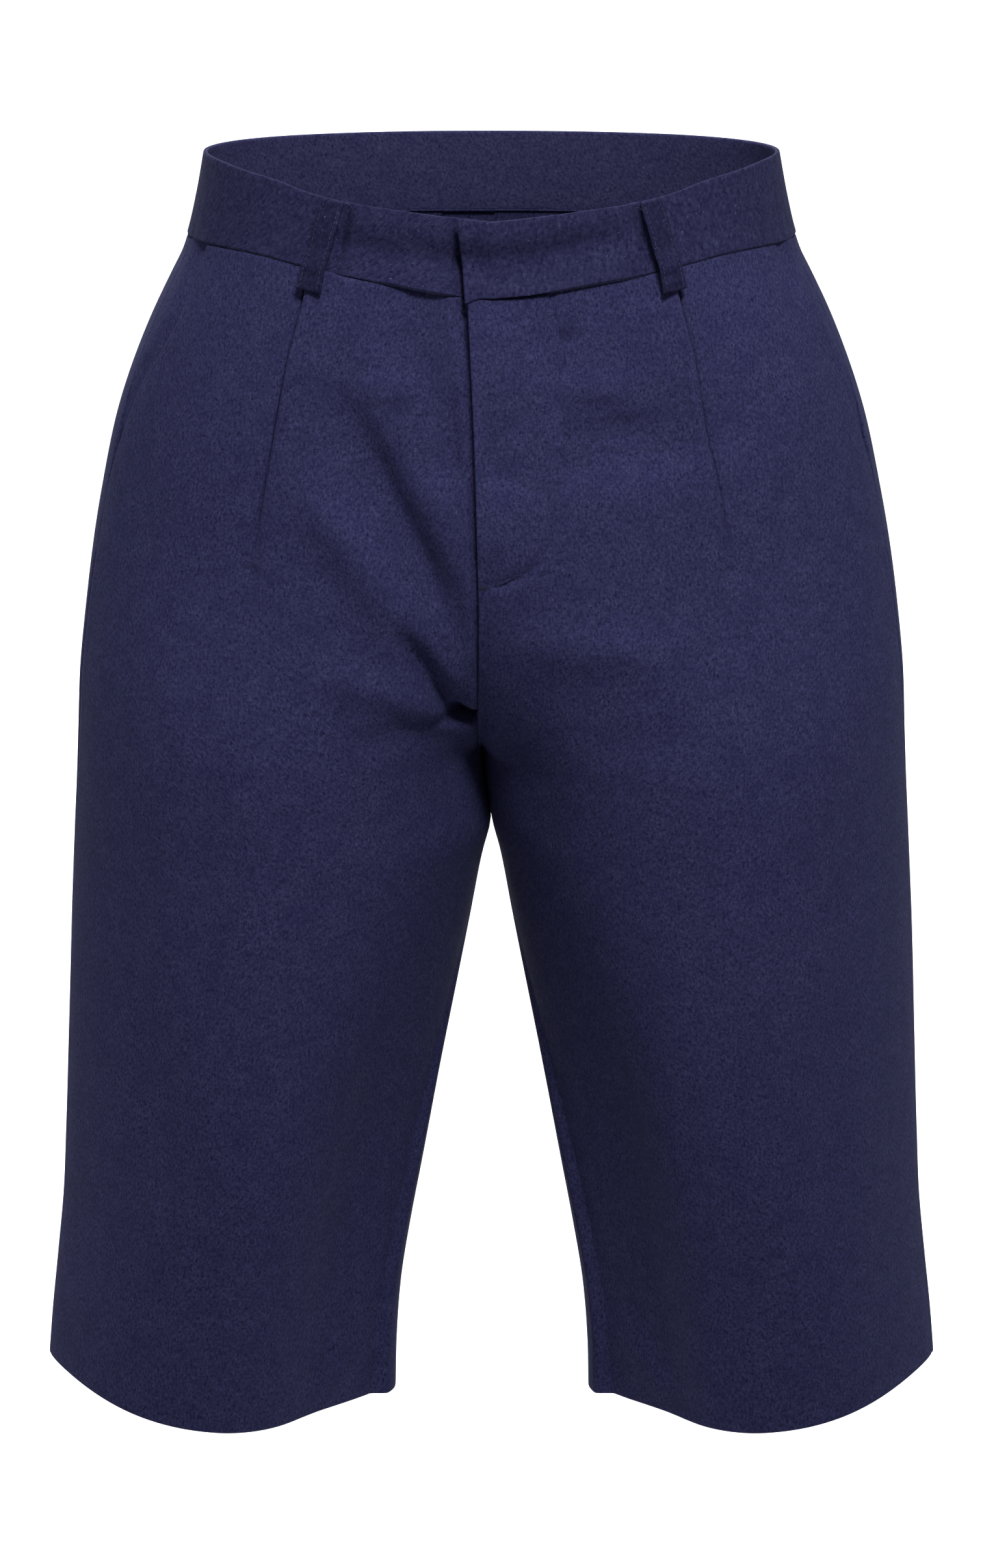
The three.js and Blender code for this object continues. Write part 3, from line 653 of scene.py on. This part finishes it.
# A front or back: turned edges at both sides, and on a front the pleat's fold between them
def panelPiece(name, side, face, first, last, rise, columns):
    width = panelWidth(side, face, panelZ)
    edge = turnedEdge(cloth["seamTurn"], 3)
    across, innerAcross = edge["across"] / width, edge["innerAcross"] / width
    turn = cloth["edgeRound"] / width

    def span(low, high, count, power=1):
        return low + (high - low) * np.linspace(0, 1, count + 2)[None, 1:-1] ** power

    # Strips from the centre to the side: shares of the width and depths, each outer and inner
    strips = [(first + across, first + innerAcross, edge["depth"], edge["innerDepth"])]
    if face == "front":
        pleatZ = np.maximum(panelZ, pleat["endZ"])
        line = shareAt(side, pleatEdge(pleatZ), pleatZ)
        out, level = np.array(pleatSection).T[:, None]
        crisp = pleatCrispness(panelZ)
        evenOut = np.linspace(out[0, 0], out[0, -1], out.shape[1])[None, :]
        softLevel = 1 - ease(0.5 + (evenOut - pleat["softShift"]) / pleat["softWidth"])
        fold = line + (out * crisp + evenOut * (1 - crisp)) / width
        depth = pleat["rise"] * pleatHeights(panelZ) * (level * crisp + softLevel * (1 - crisp))
        inside = span(first + turn, fold[:, :1], columns[0], panelSteps["closerAtFly"])
        rising = depth[:, :1] * ease(1 - (line - inside) * width / pleat["width"])
        outside = span(fold[:, -1:], last - turn, columns[1])
        strips += [(inside, inside, rising, rising - cloth["wall"]),
                   (fold, line + evenOut / width, depth, -cloth["wall"]),
                   (outside, outside, 0, -cloth["wall"])]
    else:
        plain = span(first + turn, last - turn, columns[0])
        strips.append((plain, plain, 0, -cloth["wall"]))
    strips.append((last - across[:, ::-1], last - innerAcross[:, ::-1],
                   edge["depth"][::-1], edge["innerDepth"][::-1]))
    share, innerShare, depth, innerDepth = (
        np.concatenate([strip[i] + 0 * strip[0] for strip in strips], axis=1) for i in range(4))
    outer = panelGrid(side, face, share, panelZ + 0 * share, depth + panelDepth, rise, width)
    under = panelGrid(side, face, innerShare, panelInnerZ + 0 * share,
                      innerDepth + panelInnerDepth + cloth["wall"], rise, width)
    middle = share.shape[1] // 2
    u = gridLength(outer, 1)
    v = -gridLength(outer, 0)[:, middle:middle + 1] + 0 * u
    uv = np.stack([u - u[:, middle:middle + 1], v], axis=-1)
    return wallMesh(name, outer, under, navyTwill, uv), outer


def frontEnds(side):
    width = panelWidth(side, "front", panelZ)
    underlap = fly["underlap"] * ease((panelZ - fly["endZ"] - 22) / 10) if side < 0 else 0
    first = (cut["halfSeam"] - underlap) / width
    pocket = np.where(panelZ > cut["pocketEndZ"], shareAt(side, pocketEdge(panelZ), panelZ), 1)
    return first, np.minimum(pocket, 1 - cut["halfSeam"] / width)


def frontRise(side):
    def rise(x, z):
        groove = foldRise(flyGroove, x, z) if side > 0 else 0
        folds = foldRise(frontFolds, x, z) + foldRise(frontCreases, x, z)
        return folds + groove + looseness(x, z, 1.3 + side)
    return rise


def backRise(x, z):
    return foldRise(backFolds, x, z) + foldRise(backCreases, x, z) + looseness(x, z, 3.1)


sides = (("left", 1), ("right", -1))  # the wearer's
panels = {}
for wearer, side in sides:
    panels[f"front_{wearer}"] = panelPiece(f"twill_front_{wearer}", side, "front", *frontEnds(side),
                                           frontRise(side), panelSteps["frontColumns"])
    seam = cut["halfSeam"] / panelWidth(side, "back", panelZ)
    panels[f"back_{wearer}"] = panelPiece(f"twill_back_{wearer}", side, "back", seam, 1 - seam,
                                          backRise, panelSteps["backColumns"])
print("fronts and backs made")

# The piece behind each slant opening

pocketBack = {"startX": [(-36, 106), (-150, 104), (-190, 112), (-212, 135)], "depth": 2.3,
              "riseWidth": 18.0, "steps": 34, "behindSeam": 3.0}


def pocketBackPiece(name, side):
    rows = np.concatenate([
        cut["waistSeamZ"] - cut["halfSeam"] - np.array([0, 0.2, 0.6]),
        np.arange(cut["waistSeamZ"] - 1.6, cut["pocketBackEndZ"], -2.0),
        [cut["pocketBackEndZ"]],
    ])[:, None]
    width = panelWidth(side, "front", rows)
    opening = np.where(rows > cut["pocketEndZ"], shareAt(side, pocketEdge(rows), rows), 1)
    start = shareAt(side, smoothCurve(pocketBack["startX"])(rows), rows)
    edge = turnedEdge(3.0, 2)
    shownEnd = 1 - np.where(rows > cut["pocketEndZ"], cut["halfSeam"], pocketBack["behindSeam"]) / width
    span = shownEnd - cloth["edgeRound"] / width - start
    plain = start + span * np.linspace(0, 1, pocketBack["steps"])
    share = np.concatenate([plain[:, :-1], shownEnd - edge["across"][::-1] / width], axis=1)
    innerShare = np.concatenate([plain[:, :-1], shownEnd - edge["innerAcross"][::-1] / width], axis=1)
    flat = np.zeros((1, pocketBack["steps"] - 1))
    depth = np.concatenate([flat, edge["depth"][None, ::-1]], axis=1)
    innerDepth = np.concatenate([flat - cloth["wall"], edge["innerDepth"][None, ::-1]], axis=1)

    def sunk(at):
        return -pocketBack["depth"] * (1 - ease((at - opening) * width / pocketBack["riseWidth"]))

    def rise(x, z):
        return foldRise(frontFolds, x, z) + looseness(x, z, 1.3 + side)

    outer, under = (panelGrid(side, "front", at, rows + 0 * at, down + sunk(at), rise, width)
                    for at, down in ((share, depth), (innerShare, innerDepth)))
    return wallMesh(name, outer, under, navyTwill), outer


for wearer, side in sides:
    panels[f"pocket_back_{wearer}"] = pocketBackPiece(f"twill_pocket_back_{wearer}", side)
print("pocket backs made")

# The waistband: one folded strip, its outer end lapped over its inner end

band = {"wall": 2.0, "endRaise": 3.2, "raiseFrom": 48.0, "raiseOver": 28.0, "overEnd": 100.0,
        "underEndX": 26.0, "overEndX": [(0, -14.6), (-36, -11)], "columns": 520, "rows": 22,
        "proud": 0.5, "endRound": 3.6, "cornerDrop": 2.8, "cornerWidth": 3.5, "meanRadius": 112.0,
        "pucker": 0.14}


def towardsEnd(degrees):
    return ease((degrees - band["raiseFrom"]) / band["raiseOver"])


def bandRise(degrees):
    return np.where(degrees > band["overEnd"], 0, band["endRaise"] * towardsEnd(degrees))


def roundedEnd(size):  # places from an edge, and how far the two faces draw together there
    places = np.array([0, 0.05, 0.2, 0.5, 1.0]) * size
    drawn = np.array([0.84, 0.5, 0.25, 0.07, 0]) * size
    return places, drawn


def bandPiece(name):
    height = -cut["waistSeamZ"] - cut["halfSeam"] / 2
    places, drawn = roundedEnd(band["wall"] / 2)
    plain = np.linspace(places[-1], height - places[-1], band["rows"])[1:-1]
    down = np.concatenate([places, plain, height - places[::-1]])
    pinch = np.concatenate([drawn, 0 * plain, drawn[::-1]])[:, None]
    z = -down[:, None]
    start = degreesAt(smoothCurve(band["overEndX"])(z), z)
    end = degreesAt(band["underEndX"], z) - 360
    perMm = 360 / (2 * np.pi * band["meanRadius"])  # degrees for a millimetre round the waist
    share = np.linspace(0, 1, band["columns"])[None, 1:-1]
    endPlaces = places / places[-1] * band["endRound"]
    degrees = np.concatenate([
        start - endPlaces[None, :] * perMm,
        start - endPlaces[-1] * perMm + (end - start + (endPlaces[-1] + 1) * perMm) * share,
        end + places[None, ::-1] * perMm,
    ], axis=1)
    pinch = np.maximum(pinch, np.concatenate([drawn, 0 * share[0], drawn[::-1]]))
    fromEnd = (start - degrees) / perMm
    lowDown = ease((down / height - 0.6) / 0.4)[:, None]
    z = z - band["cornerDrop"] * np.exp(-((fromEnd / band["cornerWidth"]) ** 2)) * lowDown
    base = bodyRing(degrees, z)
    normal = bandNormal(degrees, z)
    x = base[..., 0]
    dents = np.where(base[..., 1] < 0, foldRise(bandDents, x, z), 0)
    dents = dents + np.where(degrees < -180, foldRise(underLap, x, z), 0)
    puckers = band["pucker"] * np.sin(degrees * 0.9) * np.sin(degrees * 0.37 + 1)
    puckers = puckers * ease(down / height)[:, None] ** 2
    proud = band["proud"] * (1 - towardsEnd(degrees))
    rise = bandRise(degrees) + proud + dents + puckers + 0.5 * looseness(x * 1.5, z * 2, 5.2)
    outer = base + normal * (rise - pinch)[..., None]
    under = base + normal * (rise - band["wall"] + pinch)[..., None]
    # Outer face: the darker band copy, painted shade; inner face: the paler facing copy, painted light
    return wallMesh(name, outer, under, bandTwillPaintedShade, lining=[bandFacingPaintedLight]), outer


waistband, bandOuter = bandPiece("twill_waistband")
print("waistband made")

# Belt loops: a folded strip each, caught at the band's top edge and below its seam

loop = {
    "width": 9.8, "wall": 1.5, "rows": 44, "columns": 15,
    "topDown": 0.7, "belowSeam": 9.3,
    "gap": 0.35, "standOff": 1.5, "lean": 1.1,  # off the band: everywhere, half way down, on one side
    "waisted": 0.1,                             # narrower at the top, where it is caught
    "topFold": 0.5, "bottomFold": 0.55,         # ends turned under
    "edgeRidge": 0.18, "edgeRidgeAt": 3.1, "middleGroove": 0.12,
}


def beltLoopPiece(name, topX, bottomX, isFront):
    startDown, endDown = loop["topDown"], loop["belowSeam"] - cut["waistSeamZ"]
    places, drawn = roundedEnd(loop["wall"] / 2)
    plain = np.linspace(0.9, endDown - 0.9, loop["rows"])
    plain = plain[plain > startDown + 1]
    down = np.concatenate([places[:-1] + startDown, plain, endDown - places[::-1][1:]])[:, None]
    pinch = np.concatenate([drawn[:-1], 0 * plain, drawn[::-1][1:]])[:, None]
    share = (down - startDown) / (endDown - startDown)
    half = loop["width"] / 2
    side = places[:-1] - half
    middle = np.linspace(-half + 0.8, half - 0.8, loop["columns"])
    across = np.concatenate([side, middle, -side[::-1]])[None, :]
    pinch = np.maximum(pinch, np.concatenate([drawn[:-1], 0 * middle, drawn[::-1][1:]]))
    narrowed = 1 - loop["waisted"] * np.exp(-((down - 1) / 5) ** 2)
    x = topX + (bottomX - topX) * share + across * narrowed
    z = -down + 0 * x
    degrees = degreesAt(x, z) * (1 if isFront else -1)
    bow = np.sin(np.pi * share.clip(0, 1))
    clear = loop["gap"] + loop["standOff"] * bow ** 0.6
    overPleat = pleat["rise"] * pleatHeights(z) * ease((cut["waistSeamZ"] + 12 - z) / 12) if isFront else 0
    foldedEnd = loop["topFold"] * (1 - ease(share / 0.07))
    foldedEnd = foldedEnd + loop["bottomFold"] * ease((share - 0.86) / 0.05)
    ridge = loop["edgeRidge"] * np.exp(-((np.abs(across) - loop["edgeRidgeAt"]) / 0.9) ** 2)
    ridge = ridge - loop["middleGroove"] * np.exp(-(across / 0.8) ** 2)
    base = bodyRing(degrees, z)
    normal = bandNormal(degrees, z)
    towardsMiddle = -np.sign(topX) * across / half if topX else 0
    lift = bandRise(degrees) + overPleat + clear + loop["lean"] * (1 + towardsMiddle) * bow
    thick = loop["wall"] + foldedEnd + ridge
    outer = base + normal * (lift + thick - pinch)[..., None]
    under = base + normal * (lift + 0.8 * pinch)[..., None]
    # The loops wear the darker copy of the cloth: painted shade
    return wallMesh(name, outer, under, loopTwillPaintedShade), outer


loopPlaces = {
    "belt_loop_front_left": (66, 75, True), "belt_loop_front_right": (-66, -75, True),
    "belt_loop_back_left": (72, 75, False), "belt_loop_back_right": (-72, -75, False),
    "belt_loop_middle_back": (0, 0, False),
}
loops = {node: beltLoopPiece(f"twill_{node}", *place) for node, place in loopPlaces.items()}
print("belt loops made")

# Inside the fly: the facing, the zip tape and the shield behind it

flyPieces = {
    "fly_facing": {"startX": 4.8, "endZ": -172.0, "depth": 1.1, "steps": 16,
                   "endX": [(-36, 28), (-140, 28), (-152, 26), (-162, 19), (-169, 9), (-172, 2)]},
    "fly_zip": {"startX": 4.8, "endX": [(-36, 18), (-150, 18), (-164, 12)], "endZ": -164.0,
                "depth": 3.0, "steps": 10},
    "fly_shield": {"startX": 1.0, "endX": [(-36, 33), (-160, 33), (-172, 26), (-177, 14)], "endZ": -177.0,
                   "depth": 4.2, "steps": 20},
}


def flyPiece(name, settings, material):
    rows = np.arange(cut["waistSeamZ"] - 0.2, settings["endZ"], -2.0)
    rows = np.concatenate([rows, [settings["endZ"]]])[:, None]
    start = shareAt(1, frontEdge(rows) + settings["startX"], rows)
    end = shareAt(1, smoothCurve(settings["endX"])(rows), rows)
    share = start + (end - start) * np.linspace(0, 1, settings["steps"])[None, :]
    height = rows + 0 * share
    base = panelSkin(1, "front", share, height)
    normal = panelNormal(1, "front", share, height)
    outer = base - normal * settings["depth"]
    under = outer - normal * cloth["wall"]
    return wallMesh(name, outer, under, material), outer


insides = {node: flyPiece(f"twill_{node}" if node != "fly_zip" else "zip_tape", settings,
                          wovenTape if node == "fly_zip" else navyTwill)
           for node, settings in flyPieces.items()}
print("fly made")

# Sewing: each stitch is a short bent length of thread whose ends go down into the cloth

sewing = {
    "fly": {"pitch": 2.6, "length": 2.0, "radius": 0.17},
    "loop": {"pitch": 2.2, "length": 1.6, "radius": 0.15},
    "hem": {"pitch": 5.2, "length": 0.9, "radius": 0.16},
    "tack": {"pitch": 9, "length": 3.0},
    "tackX": -5.2 + 0.55 * np.arange(6),
    "tackZ": (-170.4, -174.6),
    "hemZ": -528.5,
    "loopColumns": (5, -6),
}
stitchBend = np.array([-0.22, 0.08, 0.13, 0.08, -0.22])
stitchTaper = np.array([0.5, 1, 1, 1, 0.5])


def outwardNormals(points):  # of a grid of points, away from the garment's inside
    normal = unit(np.cross(np.gradient(points, axis=1), np.gradient(points, axis=0)))
    outwards = points.mean(axis=(0, 1)) * (0.3, 1, 0)
    return normal * np.sign((normal * outwards).sum())


def stitchesAlong(points, normals, settings):
    run = gridLength(points, 0)
    starts = np.arange(0.6, run[-1] - settings["length"], settings["pitch"])
    wander = 0.12 * np.sin(starts * 1.9)  # the needle is never quite even
    at = starts[:, None] + wander[:, None] + settings["length"] * np.linspace(0, 1, 5)
    paths = np.stack([np.interp(at, run, points[:, i]) for i in range(3)], axis=-1)
    facing = np.stack([np.interp(at, run, normals[:, i]) for i in range(3)], axis=-1)
    return paths + facing * stitchBend[:, None], facing


def threadPiece(name, runs, radius, taper, material, flatness=0.8, sides=6):
    paths = np.concatenate([path for path, _ in runs])
    facing = np.concatenate([normal for _, normal in runs])
    along = np.gradient(paths, axis=1)
    beside = unit(np.cross(along, facing))
    above = unit(np.cross(beside, along))
    turn = np.arange(sides) * 2 * np.pi / sides
    size = (radius * taper)[None, :, None, None]
    rings = (paths[:, :, None] + size * beside[:, :, None] * np.cos(turn)[:, None]
             + size * flatness * above[:, :, None] * np.sin(turn)[:, None])
    count, steps = paths.shape[:2]
    index = np.arange(count * steps * sides).reshape(count, steps, sides)
    ahead = np.roll(index, -1, axis=2)
    walls = np.stack([index[:, :-1], ahead[:, :-1], ahead[:, 1:], index[:, 1:]], axis=-1).reshape(-1, 4)
    caps = index[:, 0, ::-1].tolist() + index[:, -1].tolist()
    return newPiece(name, (rings.reshape(-1, 3) * mm).tolist(), walls.tolist() + caps, material)


def flatOnFront(line, side):  # points and outward directions along a line drawn on a front
    line = np.array(line, dtype=float)
    run = gridLength(line, 0)
    at = np.linspace(0, run[-1], int(run[-1] / 1.5))
    x, z = (np.interp(at, run, line[:, i])[:, None] for i in (0, 1))
    share = shareAt(side, x * side, z)
    points = panelGrid(side, "front", share, z, 0 * z, frontRise(side), panelWidth(side, "front", z))
    return points[:, 0], panelNormal(side, "front", share, z)[:, 0]


def stitchPiece(name, runs, kind, thread=spunThread):
    return threadPiece(name, runs, sewing[kind]["radius"], stitchTaper, thread)


loopStitches = {}
for node, (piece, outer) in loops.items():
    normals = outwardNormals(outer)
    runs = [stitchesAlong(outer[4:-3, i], normals[4:-3, i], sewing["loop"]) for i in sewing["loopColumns"]]
    loopStitches[node] = stitchPiece(f"stitches_{node}", runs, "loop")

flyRuns = [stitchesAlong(*flatOnFront(flyLine, 1), sewing["fly"])]
for x in sewing["tackX"]:
    tack = flatOnFront([(x, sewing["tackZ"][0]), (x + 0.3, sewing["tackZ"][1])], 1)
    flyRuns.append(stitchesAlong(*tack, sewing["tack"]))
# The fly's darker thread is painted shade
flyStitches = stitchPiece("stitches_fly", flyRuns, "fly", flyThreadPaintedShade)

hemStitches = {}
hemRow = int(np.argmin(np.abs(panelZ[:, 0] - sewing["hemZ"])))
for node in ("front_left", "front_right", "back_left", "back_right"):
    outer = panels[node][1]
    normals = outwardNormals(outer[hemRow - 1:hemRow + 2])
    run = stitchesAlong(outer[hemRow, 14:-14], normals[1, 14:-14], sewing["hem"])
    hemStitches[node] = stitchPiece(f"stitches_hem_{node}", [run], "hem")

coil = {"fromEdge": 2.4, "halfWidth": 1.6, "pitch": 1.1, "slant": 0.25, "radius": 0.3, "height": 0.42}


def coilPiece(name, tape):  # one bent length of nylon for each turn
    turn = np.linspace(-1, 1, 7)
    heights = np.arange(cut["waistSeamZ"] - 4, tape["endZ"] + 3, -coil["pitch"])[:, None]
    z = heights + coil["slant"] * turn
    start = shareAt(1, frontEdge(heights) + tape["startX"], heights)
    share = start + (coil["fromEdge"] + coil["halfWidth"] * turn) / panelWidth(1, "front", heights)
    normal = panelNormal(1, "front", share, z)
    lift = coil["height"] * np.sqrt((1 - turn ** 2).clip(0, 1)) - 0.05
    paths = panelSkin(1, "front", share, z) + normal * (lift - tape["depth"])[None, :, None]
    return threadPiece(name, [(paths, normal)], coil["radius"], np.ones(7), nylonCoil, 0.9, 8)


zipCoil = coilPiece("zip_coil", flyPieces["fly_zip"])

# A few ends of thread left at the front loops' tops: loop, its inner column, direction and shift
threadEnd = {"length": 4.6, "droop": 3.0, "curl": 2.2, "radius": 0.09, "points": 9}
endRuns = []
for node, inner, towards, shift in (("belt_loop_front_right", -3, 1, 0.4),
                                    ("belt_loop_front_right", -3, 1, 1.6),
                                    ("belt_loop_front_left", 2, -1, -0.9)):
    outer = loops[node][1]
    root, out = outer[5, inner], outwardNormals(outer)[5, inner]
    t = np.linspace(0, 1, threadEnd["points"])
    upwards = threadEnd["curl"] * np.sin(2.4 * t + shift) - threadEnd["droop"] * t * t
    curl = np.stack([towards * (threadEnd["length"] * t + shift), 0 * t, upwards], axis=-1)
    path = root + curl + out * (0.25 + 0.5 * np.sin(np.pi * t))[:, None]
    endRuns.append((path[None], np.broadcast_to(out, path.shape)[None]))
threadEnds = threadPiece("thread_ends", endRuns, threadEnd["radius"],
                         np.linspace(1, 0.5, threadEnd["points"]), spunThread)
print("sewing made")

sewnOn = {node: [stitches] for node, stitches in {**loopStitches, **hemStitches}.items()}
sewnOn["front_left"].append(flyStitches)
sewnOn["fly_zip"] = [zipCoil]
for piece in (*loopStitches.values(), *hemStitches.values(), flyStitches, threadEnds):
    finishPiece(piece, "twill")
finishPiece(zipCoil, "zip_tape")

# Attach every piece to the root and hide the solids it stands for

for node, (piece, outer) in {**panels, **loops, **insides}.items():
    finishPiece(piece, "zip_tape" if node == "fly_zip" else "twill", node)
finishPiece(waistband, "twill", "waistband")

# Room: a pale floor that curves up behind, soft light, and the camera

room = {"floorZ": -1.02, "halfWidth": 6.0, "front": -6.0, "back": 3.0, "curve": 1.2, "height": 4.0,
        "light": 0.16}


def paleSweep():
    angles = np.linspace(-np.pi / 2, 0, 24)
    y = np.concatenate([[room["front"]], room["back"] + room["curve"] * np.cos(angles),
                        [room["back"] + room["curve"]]])
    z = np.concatenate([[0], room["curve"] * (1 + np.sin(angles)), [room["height"]]]) + room["floorZ"]
    points = [(side * room["halfWidth"], a, b) for a, b in zip(y, z) for side in (-1, 1)]
    faces = [(2 * i, 2 * i + 1, 2 * i + 3, 2 * i + 2) for i in range(len(y) - 1)]
    material, tree = newMaterial("mattWhitePaper")
    shader = addNode(tree, "ShaderNodeBsdfPrincipled", None, Base_Color=srgb("#f6f6f6"), Roughness=0.95)
    addNode(tree, "ShaderNodeOutputMaterial", None, Surface=shader.outputs[0])
    newPiece("paleSweep", points, faces, material)


lights = (  # name, place, what it aims at, size, power and spread in degrees
    ("frontBox", (0.26, -1.28, 1.1), (0, 0, -0.18), 0.45, 1.93, 44),
    ("leftBox", (-2.2, -0.4, 0.35), (0, 0, -0.2), 1.0, 0.8, 60),
    ("rightBox", (2.2, -0.4, 0.35), (0, 0, -0.2), 1.0, 0.55, 60),
    ("backBox", (-0.5, 1.6, 1.3), (0, 0, -0.2), 0.8, 4.2, 70),
    ("topBox", (0, 0.2, 3.0), (0, 0.21, 0), 2.4, 42, 180),
    ("sweepLeft", (-1.7, 1.0, 2.1), (-0.3, 3.2, -1.0), 1.6, 60, 110),
    ("sweepRight", (1.7, 1.0, 2.1), (0.3, 3.2, -1.0), 1.6, 60, 110),
)


def makeRoom():
    paleSweep()
    for name, place, aim, size, power, spread in lights:
        light = bpy.data.lights.new(name, "AREA")
        light.shape = "DISK"
        light.size = size
        light.energy = power
        light.spread = math.radians(spread)
        lamp = bpy.data.objects.new(name, light)
        lamp.location = place
        lamp.rotation_euler = (Vector(aim) - Vector(place)).to_track_quat("-Z", "Y").to_euler()
        bpy.context.collection.objects.link(lamp)
    world = bpy.data.worlds.new("softRoom")
    world.use_nodes = True
    background = world.node_tree.nodes["Background"]
    background.inputs[0].default_value = srgb("#ffffff")
    background.inputs[1].default_value = room["light"]
    bpy.context.scene.world = world
    bpy.context.scene.view_settings.view_transform = "Standard"


camera = {"place": (0, -2.40, 0.25), "downwards": 12.5157, "lens": 126.62, "sensor": 36}


def makeCamera():
    lens = bpy.data.cameras.new("photoCamera")
    lens.lens = camera["lens"]
    lens.sensor_width = camera["sensor"]
    view = bpy.data.objects.new("photoCamera", lens)
    view.location = camera["place"]
    view.rotation_euler = (math.radians(90 - camera["downwards"]), 0, 0)
    bpy.context.collection.objects.link(view)
    bpy.context.scene.camera = view


makeRoom()
makeCamera()
print("scene ready")
